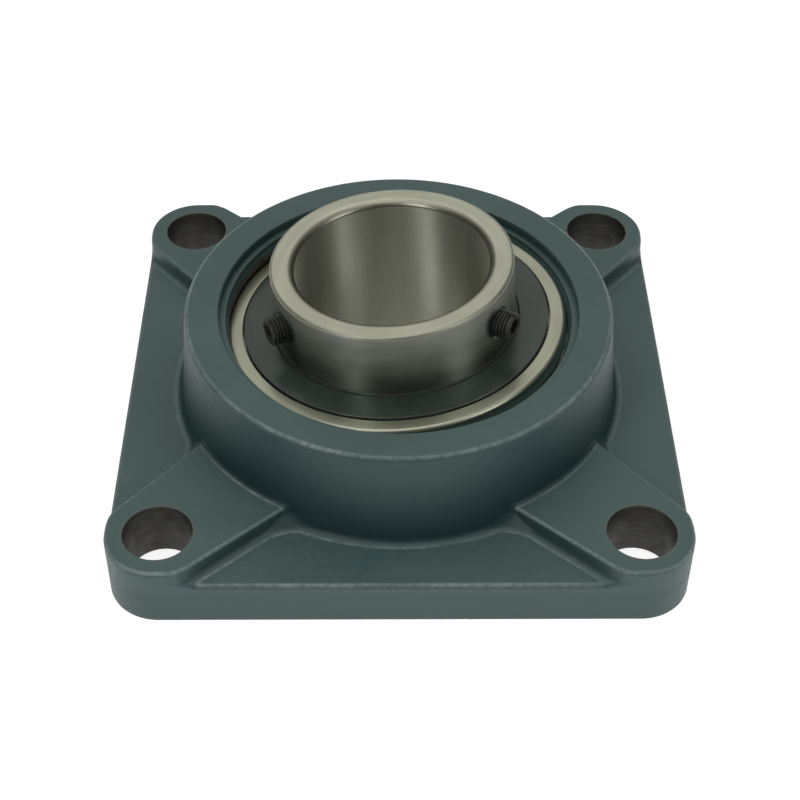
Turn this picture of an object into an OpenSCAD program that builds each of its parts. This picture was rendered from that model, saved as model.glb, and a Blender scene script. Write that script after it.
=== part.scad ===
// Square four-bolt flange bearing unit: a cast housing with a self-aligning insert bearing.
// The machined mounting face lies on Z = 0 and the housing's axis is Z. Sizes are in mm.
// The insert swivels in its spherical seat and leans by "lean" towards its left and a little to the back.

/* [Flange] */
// Side of the square flange
flange_side = 159; // [157:0.5:160]
// Distance between neighbouring bolt holes
bolt_spacing = 130; // [129:0.5:131]
// Diameter of the bolt holes
bolt_hole_d = 19; // [16:0.5:20]
// Height of the bolt pads above the mounting face
pad_h = 19; // [18:0.5:20]
// Height of the plate between the pads
plate_h = 14; // [12:0.5:15]
// Widening of each pad towards the boss, in degrees per side
pad_flare = 5; // [3:0.5:6]
// Leg of the blend between a pad's wall and the plate
pad_blend = 2.2; // [1.5:0.1:2.5]

/* [Boss] */
// Height of the boss above the mounting face
boss_h = 43.2; // [42.5:0.1:44]
// Radius of the boss at its top
boss_top_r = 61.2; // [60.5:0.1:62]
// Radius of the boss where it meets the plate
boss_base_r = 63.9; // [63:0.1:64.5]
// Radius of the rounding at the top outer edge
boss_round = 1.4; // [1:0.1:2]
// Radius of the fillet at the foot of the boss
boss_fillet = 2; // [1:0.1:3]
// Radius of the opening in the top face
mouth_r = 51.5; // [51:0.1:52]
// Radius inside the step below the opening
throat_r = 49.7; // [49.4:0.05:50.7]
// Depth of the step below the top face
step_depth = 2.7; // [2:0.1:3.6]
// Radius of the cored space behind the seat
rear_r = 52; // [51.5:0.1:53]

/* [Insert bearing] */
// Lean of the insert in its seat, in degrees
lean = 4.25; // [0:0.05:4.5]
// Direction of the lean, in degrees from +X
lean_dir = 152; // [140:1:160]
// Height of the seat's centre above the mounting face
seat_z = 26; // [25.8:0.1:26.2]
// Radius of the outer ring's spherical outside
sphere_r = 50; // [49.97:0.01:50]
// Gap between the outer ring and its seat
seat_gap = 0.08; // [0.06:0.01:0.1]
// Half of the seat's width
seat_half = 11.3; // [11:0.1:11.5]
// Half of the outer ring's width
outer_half = 12.7; // [12.5:0.1:12.8]
// Diameter of the shaft bore
bore_d = 55; // [54:0.1:55]
// Length of the inner ring in front of the seat's centre
inner_front = 33.2; // [33:0.1:34]
// Length of the inner ring behind the seat's centre
inner_rear = 22.2; // [21.5:0.1:22.2]
// Outside radius of the inner ring
collar_r = 34.5; // [34.4:0.05:34.6]
// Chamfer at both ends of the bore
bore_chamfer = 1.1; // [0.8:0.1:1.6]
// Chamfer at the outer front edge of the inner ring
collar_chamfer = 1.1; // [0.6:0.1:1.4]

/* [Rolling set] */
// Diameter of the balls
ball_d = 14.288; // [14:0.001:14.3]
// Diameter of the circle through the ball centres
pitch_d = 77.5; // [77.4:0.05:77.6]
// Gap between a ball and each raceway
race_gap = 0.1; // [0.05:0.01:0.12]
// Sheet thickness of the cage halves
cage_t = 1; // [0.8:0.05:1.1]
// Gap between a ball and its pocket
pocket_gap = 0.2; // [0.15:0.01:0.25]

/* [Set screws] */
// Outside diameter of the set screws
screw_d = 8; // [7:0.5:8.5]
// Thread pitch of the set screws
screw_pitch = 1; // [0.75:0.25:1.25]
// Length of the set screws
screw_l = 10; // [9:0.5:10.5]
// Distance of a screw's outer end from the bearing axis
screw_out = 39.2; // [38:0.1:40]
// Distance of the screw axes below the front end of the inner ring
screw_down = 9.6; // [9:0.1:10.5]
// Direction of the middle between the two screws, in degrees from +X
screw_dir = -92.3; // [-100:0.1:-80]
// Angle between the two screws, in degrees
screw_apart = 120; // [110:1:125]
// Key size of the hexagon sockets
screw_key = 4; // [3:0.5:4.5]

/* [Grease nipple] */
// Height of the nipple above the mounting face
nipple_z = 26.5; // [25:0.5:27]
// Distance of the nipple's seat from the housing's axis
nipple_y = 61; // [60.8:0.1:61.5]
// Size across the flats of the nipple's hexagon
nipple_key = 9; // [8:0.5:10]
// Diameter of the check ball
check_d = 2.5; // [2.3:0.1:2.6]

/* [Hidden] */
$fn = 96;
e = 0.02;
half = flange_side / 2;
bolt = bolt_spacing / 2;
corner_r = half - bolt;
diag = bolt * sqrt(2);
pad_r = corner_r - 0.3;
pad_s = diag + pad_r * sin(pad_flare);
pad_w = pad_r * cos(pad_flare);
seat_r = sphere_r + seat_gap;
seat_edge = sqrt(seat_r * seat_r - seat_half * seat_half);
bore_r = bore_d / 2;
pitch_r = pitch_d / 2;
ball_r = ball_d / 2;
groove_r = ball_d * 0.52;
inner_race = pitch_r - ball_r - race_gap + groove_r;
outer_race = pitch_r + ball_r + race_gap - groove_r;
balls = 10;
step_a = 360 / balls;
lip_r = 43.3;
mouth_in = 44.3;
seal_out = 45.1;
lube_h = 7.3;
cup_in = ball_r + pocket_gap;
cup_out = cup_in + cage_t;
cage_in = pitch_r - 2.5;
cage_ex = pitch_r + 2.5;
screw_z = inner_front - screw_down;
screw_r = screw_d / 2;

// Points of a quarter arc, from angle a to angle b
function arc(cx, cy, r, a, b, n) = [for (i = [0:n]) [cx + r * cos(a + (b - a) * i / n), cy + r * sin(a + (b - a) * i / n)]];

// Carries the insert's own frame, with its centre at the origin, into the leaning seat
module insert() {
  translate([0, 0, seat_z]) rotate(a = lean, v = [-sin(lean_dir), cos(lean_dir), 0]) children();
}

// ---------- housing ----------

// Plate outline: a square with corners rounded about the bolt holes
module plate_2d() {
  square([2 * half, 2 * bolt], center = true);
  square([2 * bolt, 2 * half], center = true);
  for (x = [-bolt, bolt], y = [-bolt, bolt]) translate([x, y]) circle(r = corner_r);
}

// One bolt pad along +X: round about its hole and slightly wider towards the boss
module pad_2d() {
  b = pad_w + (pad_s - 40) * tan(pad_flare);
  polygon([[40, -b], [pad_s, -pad_w], [pad_s, pad_w], [40, b]]);
  translate([diag, 0]) circle(r = pad_r);
}

// Sloping blend along one wall of a pad, from its rounded end to the boss
module pad_blend_strip() {
  translate([pad_s - 1, pad_w + tan(pad_flare), plate_h - 1]) rotate([0, 0, 180 - pad_flare]) rotate([90, 0, 90])
    linear_extrude(45) polygon([[1, 0], [1, 1 + pad_blend], [-0.02, 1 + pad_blend], [-pad_blend, 1], [-pad_blend, 0]]);
}

// Boss as a turned shape, with a rounded top edge and a fillet at its foot
module boss() {
  rotate_extrude() polygon(concat(
    [[40, 2], [boss_base_r + boss_fillet, 2], [boss_base_r + boss_fillet, plate_h]],
    arc(boss_base_r + boss_fillet, plate_h + boss_fillet, boss_fillet, 265, 188, 5),
    arc(boss_top_r - boss_round, boss_h - boss_round, boss_round, 5, 90, 6),
    [[40, boss_h]]));
}

// Everything inside the housing: the seat, the stepped mouth and the cored space behind it
module cavity() {
  zf = seat_z + seat_half;
  zr = seat_z - seat_half;
  intersection() {
    translate([0, 0, seat_z]) sphere(r = seat_r, $fn = 192);
    translate([-60, -60, zr - 1]) cube([120, 120, 2 * seat_half + 2]);
  }
  rotate_extrude() polygon([[0, zf - 1.5], [seat_edge - 1.2, zf - 1.5], [throat_r, zf + 2.2],
    [throat_r, boss_h - step_depth], [mouth_r, boss_h - step_depth], [mouth_r, boss_h - 0.5],
    [mouth_r + 0.6, boss_h + 0.1], [mouth_r + 0.6, boss_h + 1], [0, boss_h + 1]]);
  rotate_extrude() polygon([[0, zr + 1.5], [seat_edge - 1.2, zr + 1.5], [rear_r, zr - 3],
    [rear_r, 0.8], [rear_r + 1, -0.2], [rear_r + 1, -1], [0, -1]]);
}

module housing_shape() {
  difference() {
    union() {
      linear_extrude(plate_h) plate_2d();
      for (a = [45:90:315]) rotate([0, 0, a]) {
        linear_extrude(pad_h) pad_2d();
        pad_blend_strip();
        mirror([0, 1, 0]) pad_blend_strip();
      }
      boss();
    }
    cavity();
    for (x = [-bolt, bolt], y = [-bolt, bolt]) translate([x, y, -1]) cylinder(d = bolt_hole_d, h = pad_h + 2);
    // loading slots at the rear of the seat, for the insert turned on edge
    intersection() {
      translate([0, 0, -1]) cylinder(r = seat_r + 0.5, h = seat_z - 0.5);
      translate([-60, -outer_half - 0.4, -1]) cube([120, 2 * outer_half + 0.8, seat_z]);
    }
    // grease nipple: spot face, tapped hole and the slanted way into the seat
    translate([0, nipple_y, nipple_z]) rotate([-90, 0, 0]) cylinder(r = 6.4, h = 8);
    translate([0, nipple_y - 7, nipple_z]) rotate([-90, 0, 0]) cylinder(r = 4, h = 9);
    translate([0, nipple_y - 5.5, nipple_z]) rotate([50, 0, 0]) cylinder(r = 1.5, h = 12);
  }
}

module housing() { color([0.22, 0.29, 0.31]) housing_shape(); }

// ---------- grease nipple ----------

module at_nipple() { translate([0, nipple_y, nipple_z]) rotate([-90, 0, 0]) children(); }

module nipple_body() {
  color([0.72, 0.70, 0.62]) at_nipple() difference() {
    union() {
      rotate_extrude() polygon([[0, -5.5], [3.4, -5.5], [3.96, -4.9], [3.96, e], [2.9, e], [2.9, 3.4], [2.45, 4],
        [2.45, 5.7], [3.25, 6.7], [3.25, 7.2], [2, 9.9], [1.7, 10.4], [0, 10.4]]);
      intersection() {
        cylinder(d = nipple_key / cos(30), h = 3.2, $fn = 6);
        rotate_extrude() polygon([[0, 0], [4.8, 0], [5.4, 0.5], [5.4, 2.5], [4.6, 3.2], [0, 3.2]]);
      }
    }
    rotate_extrude() polygon([[0, -6], [1.25, -6], [1.25, -4.9], [1.6, -4.9], [1.6, 8.2], [0.9, 9.6], [0.9, 11], [0, 11]]);
  }
}

module nipple_ball() { color([0.8, 0.8, 0.8]) at_nipple() translate([0, 0, 8.5]) sphere(d = check_d); }

// Small coil spring behind the check ball, swept along a helix
module nipple_spring() {
  turns = 7;
  per = 12;
  z0 = -4.6;
  z1 = 6.95;
  rm = 1.15;
  rw = 0.2;
  sides = 6;
  rings = turns * per;
  pts = [for (i = [0:rings], k = [0:sides - 1])
    let (a = 360 * i / per, c = rm + rw * cos(360 * k / sides), z = z0 + (z1 - z0) * i / rings + rw * sin(360 * k / sides))
    [c * cos(a), c * sin(a), z]];
  walls = [for (i = [0:rings - 1], k = [0:sides - 1], t = [0, 1]) t == 0
    ? [i * sides + k, i * sides + (k + 1) % sides, (i + 1) * sides + (k + 1) % sides]
    : [i * sides + k, (i + 1) * sides + (k + 1) % sides, (i + 1) * sides + k]];
  ends = [[for (k = [sides - 1:-1:0]) k], [for (k = [0:sides - 1]) rings * sides + k]];
  color([0.6, 0.6, 0.62]) at_nipple() polyhedron(pts, concat(walls, ends), convexity = 10);
}

// ---------- rings ----------

module outer_ring() {
  f = outer_half;
  color([0.75, 0.74, 0.70]) insert() difference() {
    rotate_extrude() difference() {
      intersection() {
        circle(r = sphere_r, $fn = 192);
        polygon([[35, -f], [47.6, -f], [51.6, -f + 4], [51.6, f - 4], [47.6, f], [35, f]]);
      }
      translate([outer_race, 0]) circle(r = groove_r);
      translate([30, -20]) square([lip_r - 30, 40]);
      for (s = [-1, 1]) {
        translate([30, s > 0 ? 8.8 : -10.6]) square([seal_out + 0.1 - 30, 1.8]);
        translate([30, s > 0 ? 10.5 : -13.5]) square([mouth_in - 30, 3]);
      }
      // lubrication groove around the outside
      translate([48.7, lube_h - 1.5]) square([4, 3]);
    }
    // lubrication holes into the space beside the raceway
    for (a = [90, 270]) rotate([0, 0, a]) translate([40, 0, lube_h]) rotate([0, 90, 0]) cylinder(r = 1.2, h = 12);
  }
}

module inner_ring() {
  c = bore_chamfer;
  color([0.78, 0.77, 0.73]) insert() difference() {
    rotate_extrude() difference() {
      polygon([[bore_r + c, -inner_rear], [collar_r - 1, -inner_rear], [collar_r, -inner_rear + 1],
        [collar_r, inner_front - collar_chamfer], [collar_r - collar_chamfer, inner_front], [bore_r + c, inner_front],
        [bore_r, inner_front - c], [bore_r, -inner_rear + c]]);
      translate([inner_race, 0]) circle(r = groove_r);
    }
    for (s = [-0.5, 0.5]) rotate([0, 0, screw_dir + s * screw_apart]) translate([bore_r - 3, 0, screw_z]) rotate([0, 90, 0]) cylinder(r = screw_r + 0.05, h = 14);
  }
}

// ---------- balls and cage ----------

module ball(i) {
  color([0.85, 0.85, 0.86]) insert() rotate([0, 0, i * step_a]) translate([pitch_r, 0, 0]) sphere(d = ball_d);
}

// One pressed half of the cage: flat lands joined by cups around the balls
module cage_half() {
  difference() {
    intersection() {
      rotate_extrude() translate([cage_in, 0]) square([cage_ex - cage_in, 12]);
      union() {
        translate([0, 0, e]) cylinder(r = 45, h = cage_t - e);
        for (i = [0:balls - 1]) rotate([0, 0, i * step_a]) translate([pitch_r, 0, 0])
          difference() {
            sphere(r = cup_out);
            translate([0, 0, -20 + e]) cube([40, 40, 40], center = true);
          }
      }
    }
    for (i = [0:balls - 1]) rotate([0, 0, i * step_a]) translate([pitch_r, 0, 0]) sphere(r = cup_in);
    for (i = [0:balls - 1]) rotate([0, 0, (i + 0.5) * step_a]) translate([pitch_r, 0, -1]) cylinder(r = 1.02, h = 4);
  }
}

module cage_front() { color([0.62, 0.60, 0.55]) insert() cage_half(); }
module cage_rear() { color([0.56, 0.54, 0.50]) insert() mirror([0, 0, 1]) cage_half(); }

module cage_rivets() {
  color([0.66, 0.64, 0.58]) insert() for (i = [0:balls - 1]) rotate([0, 0, (i + 0.5) * step_a]) translate([pitch_r, 0, 0])
    rotate_extrude() polygon([[0, -cage_t - 0.9], [1, -cage_t - 0.9], [1.7, -cage_t - 0.4], [1.7, -cage_t - e], [1, -cage_t - e],
      [1, cage_t + e], [1.7, cage_t + e], [1.7, cage_t + 0.4], [1, cage_t + 0.9], [0, cage_t + 0.9]]);
}

// ---------- seals and slingers ----------

module seal_rubber() {
  rotate_extrude() polygon([[seal_out, 8.9], [seal_out, 10.4], [44.5, 10.4], [44.5, 9.8], [37, 9.8], [37, 10.4], [36.2, 10.4],
    [collar_r + 0.1, 9.6], [collar_r + 0.1, 9.3], [35.8, 8.9]]);
}

module seal_core() {
  rotate_extrude() translate([37 + e, 9.8 + e]) square([7.5 - 2 * e, 0.58]);
}

// Pressed disc on the inner ring, with a hub turned inwards, a narrow lip against the ring and a rim turned down
module slinger() {
  t = outer_half + 0.5;
  rotate_extrude() polygon([[collar_r + e, t - 1.8], [collar_r + 0.6, t - 1.8], [collar_r + 0.6, t - 0.8], [43, t - 0.8], [43, t - 1.6],
    [43.85, t - 1.6], [43.85, t - 0.35], [43.5, t], [collar_r + 1.1, t], [collar_r + 0.6, t - 0.4], [collar_r + 0.45, t + 0.35], [collar_r + e, t + 0.35]]);
}

module seal_front() { color([0.10, 0.10, 0.11]) insert() seal_rubber(); }
module seal_rear() { color([0.13, 0.13, 0.14]) insert() mirror([0, 0, 1]) seal_rubber(); }
module seal_front_core() { color([0.5, 0.5, 0.52]) insert() seal_core(); }
module seal_rear_core() { color([0.45, 0.45, 0.48]) insert() mirror([0, 0, 1]) seal_core(); }
module slinger_front() { color([0.20, 0.20, 0.20]) insert() slinger(); }
module slinger_rear() { color([0.25, 0.25, 0.25]) insert() mirror([0, 0, 1]) slinger(); }

// ---------- set screws ----------

// Socket set screw with a cup point, its axis along +Z and its outer end at the origin
module set_screw() {
  root = screw_r - 0.61 * screw_pitch;
  n = floor((screw_l - 2.4) / screw_pitch);
  z0 = -1.1 - n * screw_pitch;
  difference() {
    rotate_extrude() polygon(concat(
      [[0, -screw_l], [screw_r - 1.3, -screw_l], [root, -screw_l + 0.9]],
      [for (i = [0:n - 1], k = [0, 1]) k == 0 ? [root, z0 + i * screw_pitch] : [screw_r, z0 + (i + 0.5) * screw_pitch]],
      [[root, z0 + n * screw_pitch], [screw_r - 0.1, -0.6], [screw_r - 0.7, 0], [0, 0]]));
    translate([0, 0, -4.5]) cylinder(d = screw_key / cos(30), h = 6, $fn = 6);
    translate([0, 0, -screw_l - 1]) cylinder(r1 = 3.2, r2 = 0.4, h = 2.2);
  }
}

module screw_at(a) {
  insert() rotate([0, 0, a]) translate([screw_out, 0, screw_z]) rotate([0, 90, 0]) set_screw();
}

module set_screw_left() { color([0.12, 0.12, 0.13]) screw_at(screw_dir - screw_apart / 2); }
module set_screw_right() { color([0.15, 0.15, 0.16]) screw_at(screw_dir + screw_apart / 2); }

housing();
nipple_body();
nipple_ball();
nipple_spring();
outer_ring();
inner_ring();
ball(0);  // ball_01
ball(1);  // ball_02
ball(2);  // ball_03
ball(3);  // ball_04
ball(4);  // ball_05
ball(5);  // ball_06
ball(6);  // ball_07
ball(7);  // ball_08
ball(8);  // ball_09
ball(9);  // ball_10
cage_front();
cage_rear();
cage_rivets();
seal_front();
seal_front_core();
seal_rear();
seal_rear_core();
slinger_front();
slinger_rear();
set_screw_left();
set_screw_right();
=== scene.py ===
import math

import bpy
import numpy as np
from mathutils import Matrix, Vector


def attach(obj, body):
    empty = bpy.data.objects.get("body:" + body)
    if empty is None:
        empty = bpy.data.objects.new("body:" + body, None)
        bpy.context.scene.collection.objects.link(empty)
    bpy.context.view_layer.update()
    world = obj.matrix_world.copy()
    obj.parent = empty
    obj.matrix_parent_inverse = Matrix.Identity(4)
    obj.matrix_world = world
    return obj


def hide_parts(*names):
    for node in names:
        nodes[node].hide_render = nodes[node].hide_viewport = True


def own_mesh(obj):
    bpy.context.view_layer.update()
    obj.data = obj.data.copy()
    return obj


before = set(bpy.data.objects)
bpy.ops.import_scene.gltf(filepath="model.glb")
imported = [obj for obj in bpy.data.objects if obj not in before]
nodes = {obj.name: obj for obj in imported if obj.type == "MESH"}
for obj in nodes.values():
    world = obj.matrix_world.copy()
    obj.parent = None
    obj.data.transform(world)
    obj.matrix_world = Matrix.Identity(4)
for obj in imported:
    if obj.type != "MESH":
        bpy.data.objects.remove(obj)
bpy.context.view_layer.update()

MM = 0.001

# ---------------------------------------------------------------- sizes, in mm
HALF, BOLT, CORNER = 79.5, 65.0, 14.5
PAD_H, PLATE_H, BOSS_H = 19.0, 14.0, 43.2
PAD_R, PAD_FLARE = 15.05, math.radians(4.6)
FOOT, BOSS_FOOT = 1.7, 2.2
BOSS_TOP, BOSS_SLOPE = 61.2, 0.0936
MOUTH_R, THROAT_R, STEP = 51.5, 49.7, 2.7
SEAT_Z, SEAT_R, SEAT_HALF = 26.0, 50.08, 11.3
REAR_R = 52.0
DIAG = BOLT * math.sqrt(2.0)
LEAN, LEAN_DIR = math.radians(4.25), math.radians(152.0)
LEAN_AXIS = np.array([-math.sin(LEAN_DIR), math.cos(LEAN_DIR), 0.0])
COLLAR_R, BORE_R, FRONT, REAR = 34.5, 27.5, 33.2, 22.2
OUTER_HALF = 12.7
SCREW_Z, SCREW_OUT, SCREW_R = FRONT - 9.6, 39.2, 4.0
SCREW_LEFT, SCREW_RIGHT = -152.3, -32.3


def lean_matrix():
    k, c, s = LEAN_AXIS, math.cos(LEAN), math.sin(LEAN)
    kx = np.array([[0, -k[2], k[1]], [k[2], 0, -k[0]], [-k[1], k[0], 0]])
    return np.eye(3) * c + kx * s + np.outer(k, k) * (1 - c)


LEAN_M = lean_matrix()


def lean(points):
    """Insert frame, in mm, to the row frame."""
    return np.asarray(points, float) @ LEAN_M.T + np.array([0, 0, SEAT_Z])


# ---------------------------------------------------------------- distance helpers
def union_round(a, b, r):
    u = np.maximum(r - a, 0.0)
    v = np.maximum(r - b, 0.0)
    return np.maximum(r, np.minimum(a, b)) - np.sqrt(u * u + v * v)


def cut_round(a, b, r):
    """Intersection of two distances, with its edge rounded to radius r."""
    u = np.maximum(r + a, 0.0)
    v = np.maximum(r + b, 0.0)
    return np.minimum(-r, np.maximum(a, b)) + np.sqrt(u * u + v * v)


def smooth_step(lo, hi, x):
    t = np.clip((x - lo) / (hi - lo), 0.0, 1.0)
    return t * t * (3 - 2 * t)


# ---------------------------------------------------------------- surface from a distance field
def contour(field, T, R, Z):
    """Closed quad mesh of field = 0 on a grid of angle, radius and height, keeping sharp edges sharp."""
    nt, nr, nz = len(T), len(R), len(Z)
    ct, st = np.cos(T), np.sin(T)
    F = np.empty((nt, nr, nz), np.float32)
    for i0 in range(0, nt, 40):
        i1 = min(nt, i0 + 40)
        P = np.empty((i1 - i0, nr, nz, 3))
        P[..., 0] = (ct[i0:i1, None] * R[None, :])[:, :, None]
        P[..., 1] = (st[i0:i1, None] * R[None, :])[:, :, None]
        P[..., 2] = Z
        F[i0:i1] = field(P)
    inside = F < 0
    ids, pts, nrm, axes = [], [], [], []

    def pos(i, j, k):
        return np.stack([R[j] * ct[i], R[j] * st[i], Z[k]], -1)

    def edges(axis):
        if axis == 0:
            cross = inside != np.roll(inside, -1, 0)
        elif axis == 1:
            cross = np.zeros_like(inside)
            cross[:, :-1] = inside[:, :-1] != inside[:, 1:]
        else:
            cross = np.zeros_like(inside)
            cross[:, :, :-1] = inside[:, :, :-1] != inside[:, :, 1:]
        i, j, k = np.nonzero(cross)
        i2, j2, k2 = i, j, k
        if axis == 0:
            i2 = (i + 1) % nt
        elif axis == 1:
            j2 = j + 1
        else:
            k2 = k + 1
        a, b = pos(i, j, k), pos(i2, j2, k2)
        fa, fb = F[i, j, k].astype(float), F[i2, j2, k2].astype(float)
        lo, hi, flo, fhi = np.zeros(len(i)), np.ones(len(i)), fa, fb
        for step in range(7):
            if step % 2 == 0:
                t = lo + (hi - lo) * np.clip(flo / (flo - fhi + 1e-30), 0.02, 0.98)
            else:
                t = 0.5 * (lo + hi)
            ft = field(a + (b - a) * t[:, None])
            same = (ft < 0) == (flo < 0)
            lo, flo = np.where(same, t, lo), np.where(same, ft, flo)
            hi, fhi = np.where(same, hi, t), np.where(same, fhi, ft)
        t = lo + (hi - lo) * np.clip(flo / (flo - fhi + 1e-30), 0.0, 1.0)
        p = a + (b - a) * t[:, None]
        # normals are read a little off the point, so that they don't straddle an edge
        h = 0.004
        g = np.zeros_like(p)
        for d in ((1, -1, -1), (-1, -1, 1), (-1, 1, -1), (1, 1, 1)):
            d = np.array(d, float)
            g += d * field(p + d * h)[:, None]
        g /= np.linalg.norm(g, axis=1, keepdims=True) + 1e-12
        # the four cells round the edge
        if axis == 0:
            cells = [(i, j - 1, k - 1), (i, j, k - 1), (i, j, k), (i, j - 1, k)]
        elif axis == 1:
            cells = [((i - 1) % nt, j, k - 1), (i, j, k - 1), (i, j, k), ((i - 1) % nt, j, k)]
        else:
            cells = [((i - 1) % nt, j - 1, k), (i, j - 1, k), (i, j, k), ((i - 1) % nt, j, k)]
        ids.append(np.stack([(c[0] * nr + c[1]) * nz + c[2] for c in cells], -1))
        pts.append(p)
        nrm.append(g)

    for axis in (0, 1, 2):
        edges(axis)
    ids, pts, nrm = np.concatenate(ids), np.concatenate(pts), np.concatenate(nrm)
    used, quads = np.unique(ids, return_inverse=True)
    quads = quads.reshape(ids.shape)
    n = len(used)
    flat = quads.ravel()
    p4, n4 = np.repeat(pts, 4, 0), np.repeat(nrm, 4, 0)
    count = np.bincount(flat, minlength=n).astype(float)
    mean = np.stack([np.bincount(flat, p4[:, c], n) for c in range(3)], -1) / count[:, None]
    d = np.einsum("ij,ij->i", n4, p4 - mean[flat])
    ata = np.empty((n, 3, 3))
    atb = np.empty((n, 3))
    for r in range(3):
        atb[:, r] = np.bincount(flat, n4[:, r] * d, n)
        for c in range(r, 3):
            ata[:, r, c] = ata[:, c, r] = np.bincount(flat, n4[:, r] * n4[:, c], n)
    w, V = np.linalg.eigh(ata)
    keep = w > 0.06 * w[:, 2:3]
    inv = np.where(keep, 1.0 / np.where(keep, w, 1.0), 0.0)
    x = np.einsum("nij,nj,nkj,nk->ni", V, inv, V, atb)
    it, ir, iz = used // (nr * nz), (used // nz) % nr, used % nz
    it2, ir2, iz2 = (it + 1) % nt, np.minimum(ir + 1, nr - 1), np.minimum(iz + 1, nz - 1)
    size = np.sqrt((R[ir2] - R[ir]) ** 2 + (Z[iz2] - Z[iz]) ** 2 + ((((T[it2] - T[it]) % (2 * np.pi)) * R[ir]) ** 2))
    far = np.linalg.norm(x, axis=1)
    x *= np.minimum(1.0, 0.8 * size / np.maximum(far, 1e-9))[:, None]
    v = mean + x
    smooth = keep.sum(1) == 1
    for _ in range(2):
        q = v[smooth]
        h = 0.002
        g = np.zeros_like(q)
        for dd in ((1, -1, -1), (-1, -1, 1), (-1, 1, -1), (1, 1, 1)):
            dd = np.array(dd, float)
            g += dd * field(q + dd * h)[:, None]
        g /= np.linalg.norm(g, axis=1, keepdims=True) + 1e-12
        move = np.clip(field(q), -0.1, 0.1)
        v[smooth] = q - g * move[:, None]
    # each quad faces the way its edge leaves the solid
    fn = np.cross(v[quads[:, 2]] - v[quads[:, 0]], v[quads[:, 3]] - v[quads[:, 1]])
    flip = np.einsum("ij,ij->i", fn, nrm) < 0
    quads[flip] = quads[flip][:, ::-1]
    return v, quads


def spans(*parts):
    """Grid values from (start, end, step) parts that follow each other."""
    out = [parts[0][0]]
    for a, b, s in parts:
        m = max(1, int(round((b - a) / s)))
        out.extend((a + (b - a) * np.arange(1, m + 1) / m).tolist())
    return np.array(out)


# ---------------------------------------------------------------- mesh helpers
def make_object(name, verts, faces, materials, index=None, sharp=38.0, attrs=None):
    """Object from points in mm. Faces are an (n, 4) array, or a list of tuples."""
    me = bpy.data.meshes.new(name)
    verts = np.asarray(verts, np.float64) * MM
    if isinstance(faces, np.ndarray):
        nf, k = faces.shape
        me.vertices.add(len(verts))
        me.vertices.foreach_set("co", verts.astype(np.float32).ravel())
        me.loops.add(nf * k)
        me.loops.foreach_set("vertex_index", faces.astype(np.int32).ravel())
        me.polygons.add(nf)
        me.polygons.foreach_set("loop_start", np.arange(0, nf * k, k, dtype=np.int32))
        me.update(calc_edges=True)
        me.validate()
    else:
        me.from_pydata(verts.tolist(), [], faces)
        me.update(calc_edges=True)
    for m in materials:
        me.materials.append(m)
    if index is not None:
        me.polygons.foreach_set("material_index", np.asarray(index, np.int32))
    me.polygons.foreach_set("use_smooth", np.ones(len(me.polygons), bool))
    me.set_sharp_from_angle(angle=math.radians(sharp))
    for key, vals in (attrs or {}).items():
        a = me.attributes.new(key, "FLOAT", "POINT")
        a.data.foreach_set("value", np.asarray(vals, np.float32))
    me.update()
    ob = bpy.data.objects.new(name, me)
    bpy.context.scene.collection.objects.link(ob)
    return ob


def rounded(points, steps=5):
    """Closed profile from (r, z, rounding) corners, each corner turned into an arc."""
    out, n = [], len(points)
    for i in range(n):
        p = np.array(points[i][:2], float)
        rad = points[i][2] if len(points[i]) > 2 else 0.0
        a = np.array(points[i - 1][:2], float) - p
        b = np.array(points[(i + 1) % n][:2], float) - p
        la, lb = np.linalg.norm(a), np.linalg.norm(b)
        a, b = a / la, b / lb
        half = 0.5 * math.acos(max(-1.0, min(1.0, float(a @ b))))
        if rad <= 0 or half > 1.5:
            out.append(tuple(p))
            continue
        t = min(rad / math.tan(half), 0.48 * la, 0.48 * lb)
        rad = t * math.tan(half)
        c = p + (a + b) / np.linalg.norm(a + b) * (rad / math.sin(half))
        u, w = p + a * t - c, p + b * t - c
        ang = math.acos(max(-1.0, min(1.0, float(u @ w) / (np.linalg.norm(u) * np.linalg.norm(w)))))
        for s in range(steps + 1):
            f = s / steps
            q = c + (math.sin((1 - f) * ang) * u + math.sin(f * ang) * w) / math.sin(ang)
            out.append(tuple(q))
    return np.array(out)


def turned(profile, seg=256):
    """Turns a closed (r, z) profile about Z. Returns points and quads that face outwards."""
    n = len(profile)
    a = np.arange(seg) * 2 * np.pi / seg
    v = np.empty((seg, n, 3))
    v[..., 0] = np.cos(a)[:, None] * profile[None, :, 0]
    v[..., 1] = np.sin(a)[:, None] * profile[None, :, 0]
    v[..., 2] = profile[None, :, 1]
    i, j = np.meshgrid(np.arange(seg), np.arange(n), indexing="ij")
    i2, j2 = (i + 1) % seg, (j + 1) % n
    q = np.stack([i * n + j, i2 * n + j, i2 * n + j2, i * n + j2], -1).reshape(-1, 4)
    area = 0.5 * np.sum(profile[:, 0] * np.roll(profile[:, 1], -1) - np.roll(profile[:, 0], -1) * profile[:, 1])
    if area < 0:
        q = q[:, ::-1]
    return v.reshape(-1, 3), q


def stacked(rings, seg):
    """Skin over a stack of rings: each ring is (radii per angle or one radius, height or heights per angle). Ends close to a point."""
    a = np.arange(seg) * 2 * np.pi / seg
    v = []
    for r, z in rings:
        r = np.broadcast_to(np.asarray(r, float), (seg,))
        z = np.broadcast_to(np.asarray(z, float), (seg,))
        v.append(np.stack([r * np.cos(a), r * np.sin(a), z], -1))
    v = np.concatenate(v)
    faces = []
    for k in range(len(rings) - 1):
        for i in range(seg):
            j = (i + 1) % seg
            faces.append((k * seg + i, k * seg + j, (k + 1) * seg + j, (k + 1) * seg + i))
    first, last = len(v), len(v) + 1
    v = np.concatenate([v, [v[:seg].mean(0)], [v[-seg:].mean(0)]])
    top = (len(rings) - 1) * seg
    for i in range(seg):
        j = (i + 1) % seg
        faces.append((first, j, i))
        faces.append((last, top + i, top + j))
    return v, faces


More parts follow.
